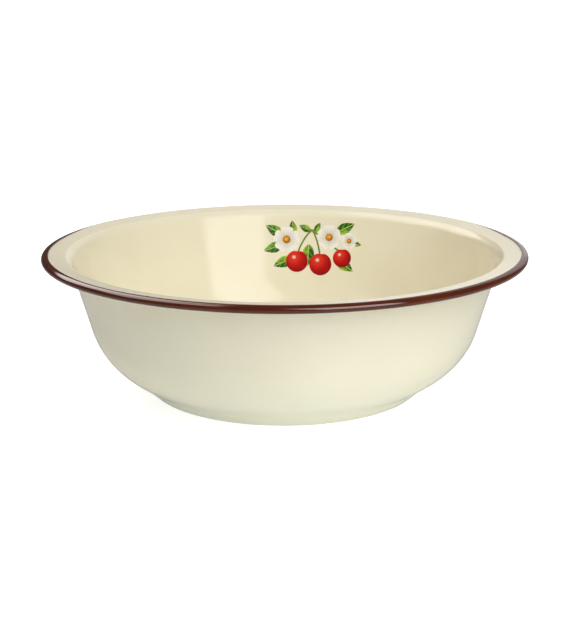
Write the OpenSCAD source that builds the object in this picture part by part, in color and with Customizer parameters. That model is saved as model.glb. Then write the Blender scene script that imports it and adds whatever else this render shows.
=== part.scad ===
// Round basin bowl of enamelled sheet steel, with a stepped foot, a turned-out flange and a rolled rim.
// Millimetres, +Z up. The origin lies on the axis, in the plane that the foot stands on.
// One outline is drawn on the outer face of the wall. Every layer runs parallel to it at its own depth,
// so the faces of neighbouring layers are the same faces.

/* [Bowl] */
// Diameter over the rolled rim
rim_d = 320; // [300:1:400]
// Height from the ground to the crown of the rim
height = 94.4; // [80:0.2:130]
// Diameter where the foot band would meet the ground, before its edge is rounded
foot_d = 178.6; // [165:0.2:195]
// Height of the foot band, up to the crease below the wall
foot_h = 8; // [5:0.5:12]
// How far the foot band leans out over its height
foot_flare = 8.8; // [4:0.2:12]
// Height of the corner that the belly rounds off
belly_h = 25; // [20:0.5:40]
// Lean of the upper wall away from upright, in degrees
wall_draft = 16; // [8:0.5:22]

/* [Rim] */
// Width from the outer edge of the rim in to the corner under the flange
flange_w = 17.6; // [13:0.2:24]
// Slope of the flange, rising outwards, in degrees
flange_rise = 5; // [0:0.5:10]
// Thickness of the rolled bead over its enamel
bead_d = 4.4; // [3.8:0.1:7]
// Gap that the curled edge leaves below the enamel under the flange
curl_gap = 0.4; // [0.2:0.05:0.8]
// Width of the brown band seen from above, in from the outer edge of the rim
band_w = 4.3; // [4:0.1:8]

/* [Base] */
// Width of the flat ring that the bowl stands on, from the foot band in to the slope round the panel
ring_w = 10.3; // [6:0.1:20]
// Height of the raised panel above the ground
panel_h = 1.5; // [0.6:0.1:3]
// Width of the slope round the raised panel
panel_slope = 4; // [3:0.5:5]

/* [Rounding of the outer face] */
// Radius of both bends of the slope round the panel
panel_r = 6; // [4:0.5:9]
// Radius of the edge between the ground and the foot band
foot_r = 3; // [2.5:0.5:6]
// Radius of the hollow crease above the foot band
crease_r = 20; // [6:1:40]
// Radius of the belly
belly_r = 54; // [30:1:60]
// Radius under the shoulder, where the wall turns out into the flange
shoulder_r = 6.5; // [3:0.5:10]

/* [Layers] */
// Thickness of the steel sheet
steel_t = 0.7; // [0.5:0.05:0.9]
// Thickness of the dark ground coat on each face
ground_t = 0.15; // [0.12:0.01:0.2]
// Thickness of the coloured cover coat on each face
cover_t = 0.25; // [0.2:0.01:0.35]
// Thickness of the printed colours on the inner wall
print_t = 0.15; // [0.12:0.01:0.25]

/* [Print] */
// Drop from the crown of the rim to the middle of the print on the inner wall
print_drop = 28.9; // [26:0.1:34]
// Turn of the print from the middle of the back wall towards the right, in degrees
print_turn = 8.9; // [-30:0.1:30]
// One step of the grid that the print is laid out on
print_step = 1; // [0.85:0.01:1.1]
// Diameter of a full-size berry
berry_d = 16.5; // [12:0.5:18]
// Diameter of a full-size blossom over its petals
blossom_d = 20; // [15:0.5:22]
// Diameter of the middle of a full-size blossom
centre_d = 6; // [4:0.5:8]
// Length of a full-size leaf
leaf_l = 17; // [13:0.5:19]
// Width of a full-size leaf
leaf_w = 9; // [6:0.2:11]
// Width of a stem
stem_w = 1.3; // [1:0.1:2]

/* [Hidden] */
$fn = 144;

cream = [0.91, 0.87, 0.74];
brown = [0.35, 0.17, 0.10];
ground_blue = [0.13, 0.15, 0.19];
bare_steel = [0.62, 0.63, 0.65];
leaf_green = [0.25, 0.47, 0.14];
stem_green = [0.42, 0.55, 0.18];
berry_red = [0.74, 0.09, 0.07];
petal_white = [0.93, 0.91, 0.85];
centre_gold = [0.80, 0.45, 0.10];

// Most that a chord may stand off the arc that it follows
chord_gap = 0.01;
// Share of a straight stretch that the bends at its two ends may use up
bend_share = 0.96;

// Depth of each face below the outer face of the wall
coat_t = ground_t + cover_t;
wall_t = steel_t + 2 * coat_t;
steel_outer = coat_t;
steel_inner = coat_t + steel_t;
ground_inner = steel_inner + ground_t;

// Rolled bead: its centre, the radius of the outline that runs into it, and how far round it goes
bead_r = bead_d / 2;
curl_c = [rim_d / 2 - bead_r, height - bead_r];
curl_ref = bead_r - wall_t;
curl_turn = 270 + asin((curl_ref - curl_gap) / bead_r);
steel_turn = curl_turn - (coat_t / (bead_r - coat_t - steel_t / 2)) * 180 / PI;
curl_steps = ceil(steel_turn / arc_step(bead_r));

// Flange: its direction, its upward normal, the corner under it and the place of the brown line
flange_dir = [cos(flange_rise), sin(flange_rise)];
flange_up = [-sin(flange_rise), cos(flange_rise)];
flange_end = curl_c + curl_ref * flange_up;
shoulder_x = rim_d / 2 - flange_w;
shoulder = [shoulder_x, flange_end[1] - (flange_end[0] - shoulder_x) * tan(flange_rise)];
band_back = (band_w - bead_r * (1 + sin(flange_rise))) / cos(flange_rise);
band_line = flange_end - band_back * flange_dir;

// Diameter of the raised panel, which leaves the flat ring and the slope inside the foot
panel_d = foot_d - 2 * (ring_w + panel_slope);

// Corners of the outline on the outer face, from the axis out to the bead, and the radius that rounds each
crease = [foot_d / 2 + foot_flare, foot_h];
belly = [shoulder_x - (shoulder[1] - belly_h) * tan(wall_draft), belly_h];
corners = [[0, panel_h], [panel_d / 2, panel_h], [panel_d / 2 + panel_slope, 0], [foot_d / 2, 0],
    crease, belly, shoulder, flange_end];
radii = [0, panel_r, panel_r, foot_r, crease_r, belly_r, shoulder_r, 0];
first_bend = 1;
crease_bend = 4;
last_bend = len(corners) - 2;

// Height of the middle of the print, and the inner face of the upper wall there
print_z = height - print_drop;
print_x = shoulder_x - (shoulder[1] - print_z) * tan(wall_draft) - wall_t / cos(wall_draft);
// Reach of the print's outline on each side of that place, along the normal of the wall
print_reach = 12;

// Parts of the print, in grid steps right of and above its middle.
// Leaf: foot of the leaf, its direction in degrees and its share of the full size.
leaves = [[-22, 9, 152, 0.9], [-22, 2, 201, 0.9], [-14, 10, 100, 0.65], [-1, 13, 156, 0.6], [2, 12, 64, 0.5],
    [18, 12, 26, 0.95], [30, 4, -6, 0.48], [19, -8, -34, 0.95], [-2.5, 3, -91, 1], [-14, -8, 205, 0.95]];
// Stem: where it starts, where it is drawn towards and where it ends.
stems = [[[0, 14], [-7, 8], [-10.5, -4]], [[0, 14], [5, 5], [6.5, -6]], [[0, 14], [14, 2], [22, -2]]];
// Berry and blossom: middle and share of the full size.
berries = [[-11, -10.2, 1], [7, -12, 1.03], [23.5, -7, 0.85]];
blossoms = [[-19.5, 6, 1], [13, 8.5, 0.95], [28.5, 6, 0.62]];

// Angle of one chord on an arc of radius r
function arc_step(r) = 2 * acos(1 - chord_gap / r);
// Unit vector from a to b, and the vector that points to its left
function unit(a, b) = (b - a) / norm(b - a);
function left_of(v) = [-v[1], v[0]];

// Turn of the outline at corner i in degrees, positive to the left
function turn(i) = let (u = unit(corners[i - 1], corners[i]), v = unit(corners[i], corners[i + 1]))
    atan2(u[0] * v[1] - u[1] * v[0], u * v);
// Length that the bend at corner i takes from the stretch on each side of it
function reach(i) = i < first_bend || i > last_bend ? 0 : radii[i] * tan(abs(turn(i)) / 2);
// Share of its reach that a bend keeps on the stretch from corner i to the next
function room(i) = let (
        stretch = norm(corners[i + 1] - corners[i]),
        taken = reach(i) + reach(i + 1))
    min(1, bend_share * stretch / max(taken, chord_gap));
// Radius of the bend at corner i, limited by the stretches on both sides
function bend_r(i) = radii[i] * min(room(i - 1), room(i));

// Points of the bend at corner i, at depth d inside the outer face
function bend(i, d) = let (
        side = sign(turn(i)),
        r = bend_r(i),
        u = unit(corners[i - 1], corners[i]),
        start = corners[i] - u * r * tan(abs(turn(i)) / 2),
        middle = start + left_of(u) * r * side,
        from = atan2(start[1] - middle[1], start[0] - middle[0]),
        n = max(2, ceil(abs(turn(i)) / arc_step(r))))
    [for (k = [0:n]) let (a = from + turn(i) * k / n) middle + (r - side * d) * [cos(a), sin(a)]];

// Outline at depth d from the axis through the bends, without the flange
function wall(d) = [[0, panel_h + d], for (i = [first_bend:last_bend]) each bend(i, d)];
// Point of the curl at depth d, a degrees round from the end of the flange
function curl_point(d, a) = curl_c + (curl_ref + d) * [cos(90 + flange_rise - a), sin(90 + flange_rise - a)];
// Outline of the curl at depth d, as far as the steel goes
function curl(d) = [for (k = [0:curl_steps]) curl_point(d, steel_turn * k / curl_steps)];
// Point of the flange at depth d where the brown band starts
function band_point(d) = band_line + d * flange_up;
function reverse(list) = [for (k = [len(list) - 1:-1:0]) list[k]];

// Solid of revolution between two outlines that run the same way
module revolve_between(near, far) {
    rotate_extrude()
        polygon(concat(near, reverse(far)));
}

// Pointed oval leaf along +X
function leaf_outline(l, w, n = 9) = concat(
    [for (k = [0:n]) [l * k / n, w / 2 * sin(180 * pow(k / n, 0.8))]],
    [for (k = [n - 1:-1:1]) [l * k / n, -w / 2 * sin(180 * pow(k / n, 0.8))]]);
// Five round petals in one outline
function blossom_outline(d, n = 60) = [for (k = [0:n - 1]) let (a = 360 * k / n)
    d / 2 * (0.62 + 0.38 * pow(abs(cos(2.5 * (a - 90))), 0.55)) * [cos(a), sin(a)]];
// Strip of width w along a curve that leaves a towards b and ends at c
function curve(a, b, c, t) = a * pow(1 - t, 2) + b * 2 * t * (1 - t) + c * pow(t, 2);
function curve_side(a, b, c, t) = left_of(unit([0, 0], (b - a) * (1 - t) + (c - b) * t));
function strip_outline(s, w, n = 8) = concat(
    [for (k = [0:n]) curve(s[0], s[1], s[2], k / n) + w / 2 * curve_side(s[0], s[1], s[2], k / n)],
    [for (k = [n:-1:0]) curve(s[0], s[1], s[2], k / n) - w / 2 * curve_side(s[0], s[1], s[2], k / n)]);

module leaf_shapes() {
    for (s = leaves)
        translate(print_step * [s[0], s[1]])
            rotate(s[2])
                polygon(leaf_outline(leaf_l * s[3], leaf_w * s[3]));
}

module stem_shapes() {
    for (s = stems)
        polygon(strip_outline(print_step * s, stem_w));
}

module berry_shapes() {
    for (s = berries)
        translate(print_step * [s[0], s[1]])
            circle(d = berry_d * s[2]);
}

module petal_shapes() {
    for (s = blossoms)
        translate(print_step * [s[0], s[1]])
            polygon(blossom_outline(blossom_d * s[2]));
}

module centre_shapes() {
    for (s = blossoms)
        translate(print_step * [s[0], s[1]])
            circle(d = centre_d * s[2]);
}

// Lays flat shapes on the inner wall as a thin fired layer
module print_layer() {
    intersection() {
        revolve_between(
            [for (i = [crease_bend:last_bend]) each bend(i, wall_t)],
            [for (i = [crease_bend:last_bend]) each bend(i, wall_t + print_t)]);
        rotate([0, 0, -print_turn])
            translate([0, print_x, print_z])
                rotate([90 - wall_draft, 0, 0])
                    translate([0, 0, -print_reach])
                        linear_extrude(2 * print_reach)
                            children();
    }
}

// Drawn sheet with the hollow bead rolled at its edge
module steel_shell() {
    color(bare_steel)
        revolve_between(
            concat(wall(steel_outer), curl(steel_outer)),
            concat(wall(steel_inner), curl(steel_inner)));
}

// First coat on the inside, over the flange and round the bead
module ground_coat_inside() {
    color(ground_blue)
        revolve_between(
            concat(wall(steel_inner), curl(steel_inner)),
            concat(wall(ground_inner), curl(ground_inner)));
}

// First coat under the base, up the outside and into the mouth of the curl
module ground_coat_outside() {
    color(ground_blue)
        revolve_between(
            concat(wall(cover_t), [curl_point(cover_t, 0)]),
            concat(wall(steel_outer), [curl_point(steel_outer, 0)]));
}

// Cream coat on the inside, out to the brown line on the flange
module cover_coat_inside() {
    color(cream)
        revolve_between(
            concat(wall(ground_inner), [band_point(ground_inner)]),
            concat(wall(wall_t), [band_point(wall_t)]));
}

// Cream coat under the base and up the outside, which the bowl stands on
module cover_coat_outside() {
    color(cream)
        revolve_between(
            concat(wall(0), [curl_point(0, 0)]),
            concat(wall(cover_t), [curl_point(cover_t, 0)]));
}

// Brown coat round the bead, which also closes over the cut edge of the sheet
module rim_enamel() {
    color(brown)
        revolve_between(
            concat([band_point(ground_inner)], curl(ground_inner),
                [curl_point(steel_outer, steel_turn), curl_point(steel_outer, curl_turn)]),
            concat([band_point(wall_t)], curl(wall_t), [curl_point(wall_t, curl_turn)]));
}

// Green leaves, cut out round everything that is printed over them
module print_leaves() {
    color(leaf_green)
        print_layer()
            difference() {
                leaf_shapes();
                stem_shapes();
                berry_shapes();
                petal_shapes();
            }
}

// Pale green stems from one knot to each berry
module print_stems() {
    color(stem_green)
        print_layer()
            difference() {
                stem_shapes();
                berry_shapes();
                petal_shapes();
            }
}

// Round red berries
module print_berries() {
    color(berry_red)
        print_layer()
            difference() {
                berry_shapes();
                petal_shapes();
            }
}

// White blossoms with a hole for their middles
module print_petals() {
    color(petal_white)
        print_layer()
            difference() {
                petal_shapes();
                centre_shapes();
            }
}

// Golden middles of the blossoms
module print_centres() {
    color(centre_gold)
        print_layer()
            centre_shapes();
}

steel_shell();
ground_coat_inside();
ground_coat_outside();
cover_coat_inside();
cover_coat_outside();
rim_enamel();
print_leaves();
print_stems();
print_berries();
print_petals();
print_centres();
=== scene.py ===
"""Looks of a round basin bowl: cream enamel on drawn steel, with a brown rim and a fired print.

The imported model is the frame. The two cream coats, the brown rim and the five colours of the print are
modelled again here, finer than their solids, and the steel and the ground coats keep their solids.
All lengths are in metres, and MM turns a size that is written in millimetres into metres.
"""

from __future__ import annotations

import logging
import math
from collections.abc import Callable, Iterator
from dataclasses import dataclass, replace
from enum import Enum
from functools import partial

import bpy
from mathutils import Matrix, Vector

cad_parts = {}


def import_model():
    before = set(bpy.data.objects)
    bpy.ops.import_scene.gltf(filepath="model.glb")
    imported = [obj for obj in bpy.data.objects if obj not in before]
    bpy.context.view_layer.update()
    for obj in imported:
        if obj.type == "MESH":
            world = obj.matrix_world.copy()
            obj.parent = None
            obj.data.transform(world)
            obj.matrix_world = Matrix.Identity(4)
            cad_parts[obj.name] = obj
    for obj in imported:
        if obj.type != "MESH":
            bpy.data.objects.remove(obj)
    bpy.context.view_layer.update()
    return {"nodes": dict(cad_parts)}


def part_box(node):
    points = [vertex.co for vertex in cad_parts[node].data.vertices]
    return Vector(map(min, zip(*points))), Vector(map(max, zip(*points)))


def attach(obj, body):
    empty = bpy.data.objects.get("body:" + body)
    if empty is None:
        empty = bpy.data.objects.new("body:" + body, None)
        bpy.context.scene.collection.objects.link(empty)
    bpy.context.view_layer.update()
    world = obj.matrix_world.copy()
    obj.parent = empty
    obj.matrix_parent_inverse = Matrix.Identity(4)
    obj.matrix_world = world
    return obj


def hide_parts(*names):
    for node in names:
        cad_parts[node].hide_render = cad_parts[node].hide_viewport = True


LOG = logging.getLogger("basin_bowl")
MM = 0.001
BODY = "root"

# Copies of an outline in one full turn, and the most that points may lie apart and still be merged
AROUND = 240
MERGE = 0.001 * MM
# Longest straight step and widest bend step of a drawn outline
STRAIGHT_STEP = 5.0 * MM
BEND_STEP = math.radians(4.0)
# Edges that turn by more than this stay sharp in the shading
SHARP = math.radians(40.0)
WHITE = (1.0, 1.0, 1.0, 1.0)
# Setting of a Map Range that starts and ends softly
SOFT_ENDS = {"interpolation_type": "SMOOTHSTEP"}

Point = tuple[float, float]
Place = tuple[float, float, float, float]
Piece = bpy.types.Object
Material = bpy.types.Material
Socket = bpy.types.NodeSocket
# The function add_node with its tree already given
Adder = Callable[..., Socket]


class Plane(Enum):
    """Plane that a pen draws in."""

    SECTION = "XZ"
    FLAT = "XY"


class Face(Enum):
    """Side of the bowl, as the way that its face looks at the base: 1 is up, and -1 is down."""

    INSIDE = 1
    OUTSIDE = -1


def linear(code: str) -> tuple[float, float, float, float]:
    """Turns an sRGB hex colour into linear values.

    Args:
        code: Colour as #RRGGBB.

    Returns:
        Linear red, green and blue, and an alpha of 1.
    """
    parts = [int(code[i:i + 2], 16) / 255 for i in (1, 3, 5)]
    red, green, blue = (p / 12.92 if p <= 0.04045 else ((p + 0.055) / 1.055) ** 2.4 for p in parts)
    return red, green, blue, 1.0


def add_node(
        tree: bpy.types.NodeTree, kind: str, inputs: dict | tuple = (), give: str = "",
        stops: tuple[tuple[float, str], ...] = (), **settings: object) -> Socket | None:
    """Adds a shader node to a tree, with its settings, its values and its links.

    Args:
        tree: Node tree that the node goes into.
        kind: Blender's name of the node type, without ShaderNode in front.
        inputs: Value, or output socket to link, for each input by name, or for the first inputs in order.
            A Map Range has its value, the two ends that it comes from and the two ends that it goes to.
        give: Name of the output that is wanted, or nothing for the first one in use.
        stops: Place from 0 to 1 and hex colour of each stop, for a colour ramp.
        settings: Properties of the node itself.

    Returns:
        The wanted output socket, or None for a node that has no outputs.
    """
    node = tree.nodes.new(f"ShaderNode{kind}")
    for name, value in settings.items():
        setattr(node, name, value)
    for number, (place, code) in enumerate(stops):
        elements = node.color_ramp.elements
        element = elements[number] if number < len(elements) else elements.new(place)
        element.position = place
        element.color = linear(code)
    for name, value in inputs.items() if isinstance(inputs, dict) else enumerate(inputs):
        socket = node.inputs[name] if isinstance(name, int) else next(
            s for s in node.inputs if s.name == name and s.enabled)
        if isinstance(value, Socket):
            tree.links.new(value, socket)
        else:
            socket.default_value = value
    return next((s for s in node.outputs if s.enabled and give in ("", s.name)), None)


def empty_tree(owner: Material | bpy.types.World) -> Adder:
    """Clears the nodes of a material or of the world.

    Args:
        owner: What gets new nodes.

    Returns:
        The function that adds a node to it.
    """
    owner.use_nodes = True
    owner.node_tree.nodes.clear()
    return partial(add_node, owner.node_tree)


@dataclass(frozen=True)
class Finish:
    """What a surface is made of. Each kind says what its shader gets."""

    name: str

    def surface(self, add: Adder) -> dict:
        """Adds the finish's own nodes.

        Args:
            add: Adds a node to the new material.

        Returns:
            Values and output sockets for the Principled shader's inputs.
        """
        raise NotImplementedError

    def material(self) -> Material:
        """Makes the material.

        Returns:
            A new material with the finish's own nodes on one Principled shader.
        """
        material = bpy.data.materials.new(self.name)
        add = empty_tree(material)
        shader = add("BsdfPrincipled", self.surface(add))
        add("OutputMaterial", {"Surface": shader})
        return material


@dataclass(frozen=True)
class VitreousEnamel(Finish):
    """Glass that is sprayed onto sheet steel as a powder and melted: opaque colour under a smooth gloss."""

    # The colour drifts to a shade where the glass is thinner, in patches that are a few ripples wide
    colour: str
    shade: str
    drift: float = 2.0
    roughness: float = 0.09
    ior: float = 1.52
    # Long, shallow ripples where the melted glass settled: they bend the edges of a mirrored lamp
    ripple: float = 22.0 * MM
    ripple_depth: float = 0.012 * MM
    # Orange peel from the spray: it breaks up the gloss, and is drawn as coarse as it needs to show
    peel: float = 1.6 * MM
    peel_depth: float = 0.0006 * MM
    # Small bare spots where the pins of the firing stand touched, which soften past a share of their radius
    pin_marks: tuple[Point, ...] = ()
    pin_r: float = 1.1 * MM
    pin_core: float = 0.6
    pin_colour: str = "#3A3A40"

    def surface(self, add: Adder) -> dict:
        """Adds the drift of colour, the pin marks, the ripples and the orange peel.

        Args:
            add: Adds a node to the new material.

        Returns:
            Values and output sockets for the Principled shader's inputs.
        """
        place = add("TexCoord", give="Object")
        drift = add("TexNoise", {"Vector": place, "Scale": 1 / (self.drift * self.ripple), "Detail": 3.0})
        colour = add("ValToRGB", {"Fac": drift}, stops=((0.3, self.shade), (0.7, self.colour)))
        bare = linear(self.pin_colour)
        for mark in self.pin_marks:
            away = add("VectorMath", (place, (*mark, 0.0)), operation="DISTANCE")
            spot = add("MapRange", (away, self.pin_core * self.pin_r, self.pin_r, 1.0, 0.0))
            colour = add("Mix", {"Factor": spot, "A": colour, "B": bare}, data_type="RGBA")
        ripple = add("TexNoise", {"Vector": place, "Scale": 1 / self.ripple, "Detail": 1.0})
        waves = add("Bump", {"Height": ripple, "Distance": self.ripple_depth})
        peel = add("TexNoise", {"Vector": place, "Scale": 1 / self.peel, "Detail": 1.0})
        skin = add("Bump", {"Height": peel, "Distance": self.peel_depth, "Normal": waves})
        return {"Base Color": colour, "Roughness": self.roughness, "IOR": self.ior, "Normal": skin}


@dataclass(frozen=True)
class RolledSteel(Finish):
    """Cold-rolled sheet steel, drawn and pickled before it is enamelled: dull grey with fine lines."""

    colour: str = "#8E9094"
    shade: str = "#77797E"
    # Width of the lines, how many times longer than wide they are, and how dull the shiniest and dullest are
    grain: float = 0.6 * MM
    stretch: float = 10.0
    dull: Point = (0.3, 0.5)

    def surface(self, add: Adder) -> dict:
        """Adds grain that is stretched along the drawing direction, in the colour and in the gloss.

        Args:
            add: Adds a node to the new material.

        Returns:
            Values and output sockets for the Principled shader's inputs.
        """
        place = add("TexCoord", give="Object")
        drawn = add("Mapping", {"Vector": place, "Scale": (1.0, 1.0, 1 / self.stretch)})
        grain = add("TexNoise", {"Vector": drawn, "Scale": 1 / self.grain, "Detail": 4.0})
        colour = add("ValToRGB", {"Fac": grain}, stops=((0.35, self.shade), (0.65, self.colour)))
        rough = add("MapRange", (grain, 0.0, 1.0, *self.dull))
        return {"Base Color": colour, "Roughness": rough, "Metallic": 1.0}


@dataclass(frozen=True)
class FiredColour(Finish):
    """Ground glass colour that is printed on the enamel and fired: a little duller than the enamel itself.

    Each motif is painted along its own UV map.
    """

    light: str
    middle: str
    dark: str
    accent: str = ""
    roughness: float = 0.13
    ior: float = 1.52

    def paint(self, add: Adder, along: Socket, across: Socket) -> Socket:
        """Adds the drawing of one motif.

        Args:
            add: Adds a node to the new material.
            along: Way along the motif, from 0 to 1.
            across: Way across the motif, from 0 to 1.

        Returns:
            Colour socket.
        """
        raise NotImplementedError

    def surface(self, add: Adder) -> dict:
        """Adds the motif's drawing.

        Args:
            add: Adds a node to the new material.

        Returns:
            Values and output sockets for the Principled shader's inputs.
        """
        chart = add("TexCoord", give="UV")
        along = add("SeparateXYZ", {"Vector": chart}, give="X")
        across = add("SeparateXYZ", {"Vector": chart}, give="Y")
        return {"Base Color": self.paint(add, along, across), "Roughness": self.roughness, "IOR": self.ior}


@dataclass(frozen=True)
class LeafColour(FiredColour):
    """Green with a pale midrib, pale side veins and a yellower half."""

    # Side veins: count, lean to the tip, from where to where each fades, and strength
    veins: float = 7.0
    vein_lean: float = 0.35
    vein_edge: Point = (0.04, 0.22)
    vein_share: float = 0.5
    # Midrib: from where to where it fades, and strength
    rib_edge: Point = (0.02, 0.06)
    rib_share: float = 0.8
    # Size of the blotches, and how much the tone changes across the leaf and along it
    blotch: float = 4.0 * MM
    tone_across: float = 0.6
    tone_along: float = 0.35

    def paint(self, add: Adder, along: Socket, across: Socket) -> Socket:
        """Adds the drawing of one leaf.

        Args:
            add: Adds a node to the new material.
            along: Way from the foot of the leaf to its tip, from 0 to 1.
            across: Way across the leaf, from 0 to 1.

        Returns:
            Colour socket.
        """
        off = add("Math", (across, 0.5), operation="SUBTRACT")
        side = add("Math", (off,), operation="ABSOLUTE")
        place = add("TexCoord", give="Object")
        blotch = add("TexNoise", {"Vector": place, "Scale": 1 / self.blotch, "Detail": 2.0})
        tone = add("Math", (across, self.tone_across, blotch), operation="MULTIPLY_ADD")
        tone = add("Math", (along, self.tone_along, tone), operation="MULTIPLY_ADD")
        body = add("ValToRGB", {"Fac": tone}, stops=(
            (0.55, self.light), (0.85, self.middle), (1.0, self.dark)))
        lean = add("Math", (side, -2 * self.vein_lean, along), operation="MULTIPLY_ADD")
        beat = add("Math", (lean, self.veins), operation="MULTIPLY")
        beat = add("Math", (beat, 1.0), operation="PINGPONG")
        vein = add("MapRange", (beat, *self.vein_edge, self.vein_share, 0.0))
        rib = add("MapRange", (side, *self.rib_edge, self.rib_share, 0.0))
        line = add("Math", (vein, rib), operation="MAXIMUM")
        return add("Mix", {"Factor": line, "A": body, "B": linear(self.accent)}, data_type="RGBA")


@dataclass(frozen=True)
class StemColour(FiredColour):
    """Yellow-green with a lighter line along its middle and darker edges."""

    # How far that line moves to one edge on the way to the berry
    drift: float = 0.25

    def paint(self, add: Adder, along: Socket, across: Socket) -> Socket:
        """Adds the drawing of one stem.

        Args:
            add: Adds a node to the new material.
            along: Way from the knot to the berry, from 0 to 1.
            across: Way across the stem, from 0 to 1.

        Returns:
            Colour socket.
        """
        tone = add("Math", (along, self.drift, across), operation="MULTIPLY_ADD")
        return add("ValToRGB", {"Fac": tone}, stops=(
            (0.0, self.dark), (0.35, self.light), (0.6, self.middle), (1.0, self.dark)))


@dataclass(frozen=True)
class BerryColour(FiredColour):
    """Red that is painted round and glossy: a window of light, a darker rim and a glow at the far side."""

    # Window of light: place, radius, share of that in full light, and strength
    window: Point = (0.36, 0.68)
    window_size: float = 0.1
    window_core: float = 0.4
    window_share: float = 0.9
    # Glow: place, radius and strength
    glow: Point = (0.78, 0.22)
    glow_size: float = 0.2
    glow_share: float = 0.55

    def paint(self, add: Adder, along: Socket, across: Socket) -> Socket:
        """Adds the drawing of one berry.

        Args:
            add: Adds a node to the new material.
            along: Way across the berry from its left, from 0 to 1.
            across: Way up the berry, from 0 to 1.

        Returns:
            Colour socket.
        """
        spot = add("CombineXYZ", {"X": along, "Y": across})
        near = add("VectorMath", (spot, (*self.window, 0.0)), operation="DISTANCE")
        body = add("ValToRGB", {"Fac": near}, stops=(
            (0.05, self.light), (0.4, self.middle), (0.78, self.dark)))
        glow = add("VectorMath", (spot, (*self.glow, 0.0)), operation="DISTANCE")
        glow = add("MapRange", (glow, 0.0, self.glow_size, self.glow_share, 0.0))
        body = add("Mix", {"Factor": glow, "A": body, "B": linear(self.middle)}, data_type="RGBA")
        core = self.window_core * self.window_size
        shine = add("MapRange", (near, core, self.window_size, self.window_share, 0.0))
        return add("Mix", {"Factor": shine, "A": body, "B": linear(self.accent)}, data_type="RGBA")


@dataclass(frozen=True)
class PetalColour(FiredColour):
    """White that greys in fine lines towards a greenish foot."""

    # Fine lines: count and from where to where each fades, and where along the petal they fade and how far
    lines: float = 6.0
    line_edge: Point = (0.05, 0.3)
    fade_ends: Point = (0.3, 0.95)
    fade_shares: Point = (0.5, 0.05)

    def paint(self, add: Adder, along: Socket, across: Socket) -> Socket:
        """Adds the drawing of one petal.

        Args:
            add: Adds a node to the new material.
            along: Way from the foot of the petal to its tip, from 0 to 1.
            across: Way across the petal, from 0 to 1.

        Returns:
            Colour socket.
        """
        body = add("ValToRGB", {"Fac": along}, stops=(
            (0.15, self.accent), (0.45, self.middle), (0.75, self.light)))
        beat = add("Math", (across, self.lines), operation="MULTIPLY")
        beat = add("Math", (beat, 0.5), operation="PINGPONG")
        fade = add("MapRange", (along, *self.fade_ends, *self.fade_shares))
        line = add("MapRange", (beat, *self.line_edge, 1.0, 0.0))
        line = add("Math", (line, fade), operation="MULTIPLY")
        return add("Mix", {"Factor": line, "A": body, "B": linear(self.dark)}, data_type="RGBA")


@dataclass(frozen=True)
class CentreColour(FiredColour):
    """Gold that darkens towards its rim, under brown grains."""

    # Place of its lightest spot
    lit: Point = (0.46, 0.56)
    # Grains: size, from where to where each fades, and strength
    grain: float = 0.9 * MM
    grain_edge: Point = (0.2, 0.4)
    grain_share: float = 0.7

    def paint(self, add: Adder, along: Socket, across: Socket) -> Socket:
        """Adds the drawing of one blossom's middle.

        Args:
            add: Adds a node to the new material.
            along: Way across the middle from its left, from 0 to 1.
            across: Way up the middle, from 0 to 1.

        Returns:
            Colour socket.
        """
        spot = add("CombineXYZ", {"X": along, "Y": across})
        away = add("VectorMath", (spot, (*self.lit, 0.0)), operation="DISTANCE")
        body = add("ValToRGB", {"Fac": away}, stops=(
            (0.05, self.light), (0.3, self.middle), (0.5, self.dark)))
        place = add("TexCoord", give="Object")
        grains = add("TexVoronoi", {"Vector": place, "Scale": 1 / self.grain})
        dots = add("MapRange", (grains, *self.grain_edge, self.grain_share, 0.0))
        return add("Mix", {"Factor": dots, "A": body, "B": linear(self.accent)}, data_type="RGBA")


def direction(turn: float, rise: float) -> Vector:
    """Finds the way from the bowl to something around it.

    Args:
        turn: Angle from the camera's side round to the right, in degrees.
        rise: Angle above the floor, in degrees.

    Returns:
        Direction of length 1.
    """
    turn, rise = math.radians(turn), math.radians(rise)
    return Vector((math.sin(turn) * math.cos(rise), -math.cos(turn) * math.cos(rise), math.sin(rise)))


def deselect_all() -> None:
    """Leaves edit mode and clears the selection."""
    if bpy.context.mode != "OBJECT":
        bpy.ops.object.mode_set(mode="OBJECT")
    bpy.ops.object.select_all(action="DESELECT")


def select_only(*pieces: Piece) -> None:
    """Selects some pieces and nothing else.

    Args:
        pieces: Pieces to select. The first one becomes active.
    """
    deselect_all()
    for piece in pieces:
        piece.select_set(True)
    bpy.context.view_layer.objects.active = pieces[0]


def apply_modifier(piece: Piece, kind: str, **settings: object) -> None:
    """Adds a modifier to a piece and applies it.

    Args:
        piece: Piece that gets the modifier.
        kind: Blender's name of the modifier type.
        settings: Properties of the modifier.
    """
    select_only(piece)
    bpy.ops.object.modifier_add(type=kind)
    modifier = piece.modifiers[-1]
    for name, value in settings.items():
        setattr(modifier, name, value)
    bpy.ops.object.modifier_apply(modifier=modifier.name)


def smooth(piece: Piece, sharp: float = SHARP) -> None:
    """Smooths the shading of a piece, but for the edges that turn by more than sharp."""
    select_only(piece)
    bpy.ops.object.shade_smooth_by_angle(angle=sharp)


def hand_over(piece: Piece, material: Material, slot: str, *nodes: str) -> None:
    """Dresses a finished piece and gives it to the frame.

    Args:
        piece: Finished piece.
        material: Its finish.
        slot: The record's material slot of that finish. It is not used.
        nodes: CAD nodes that the piece stands for.
    """
    piece.data.materials.clear()
    piece.data.materials.append(material)
    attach(piece, BODY)
    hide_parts(*nodes)
    LOG.info("%s: %d faces, stands for %s", piece.name, len(piece.data.polygons), ", ".join(nodes))


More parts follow.
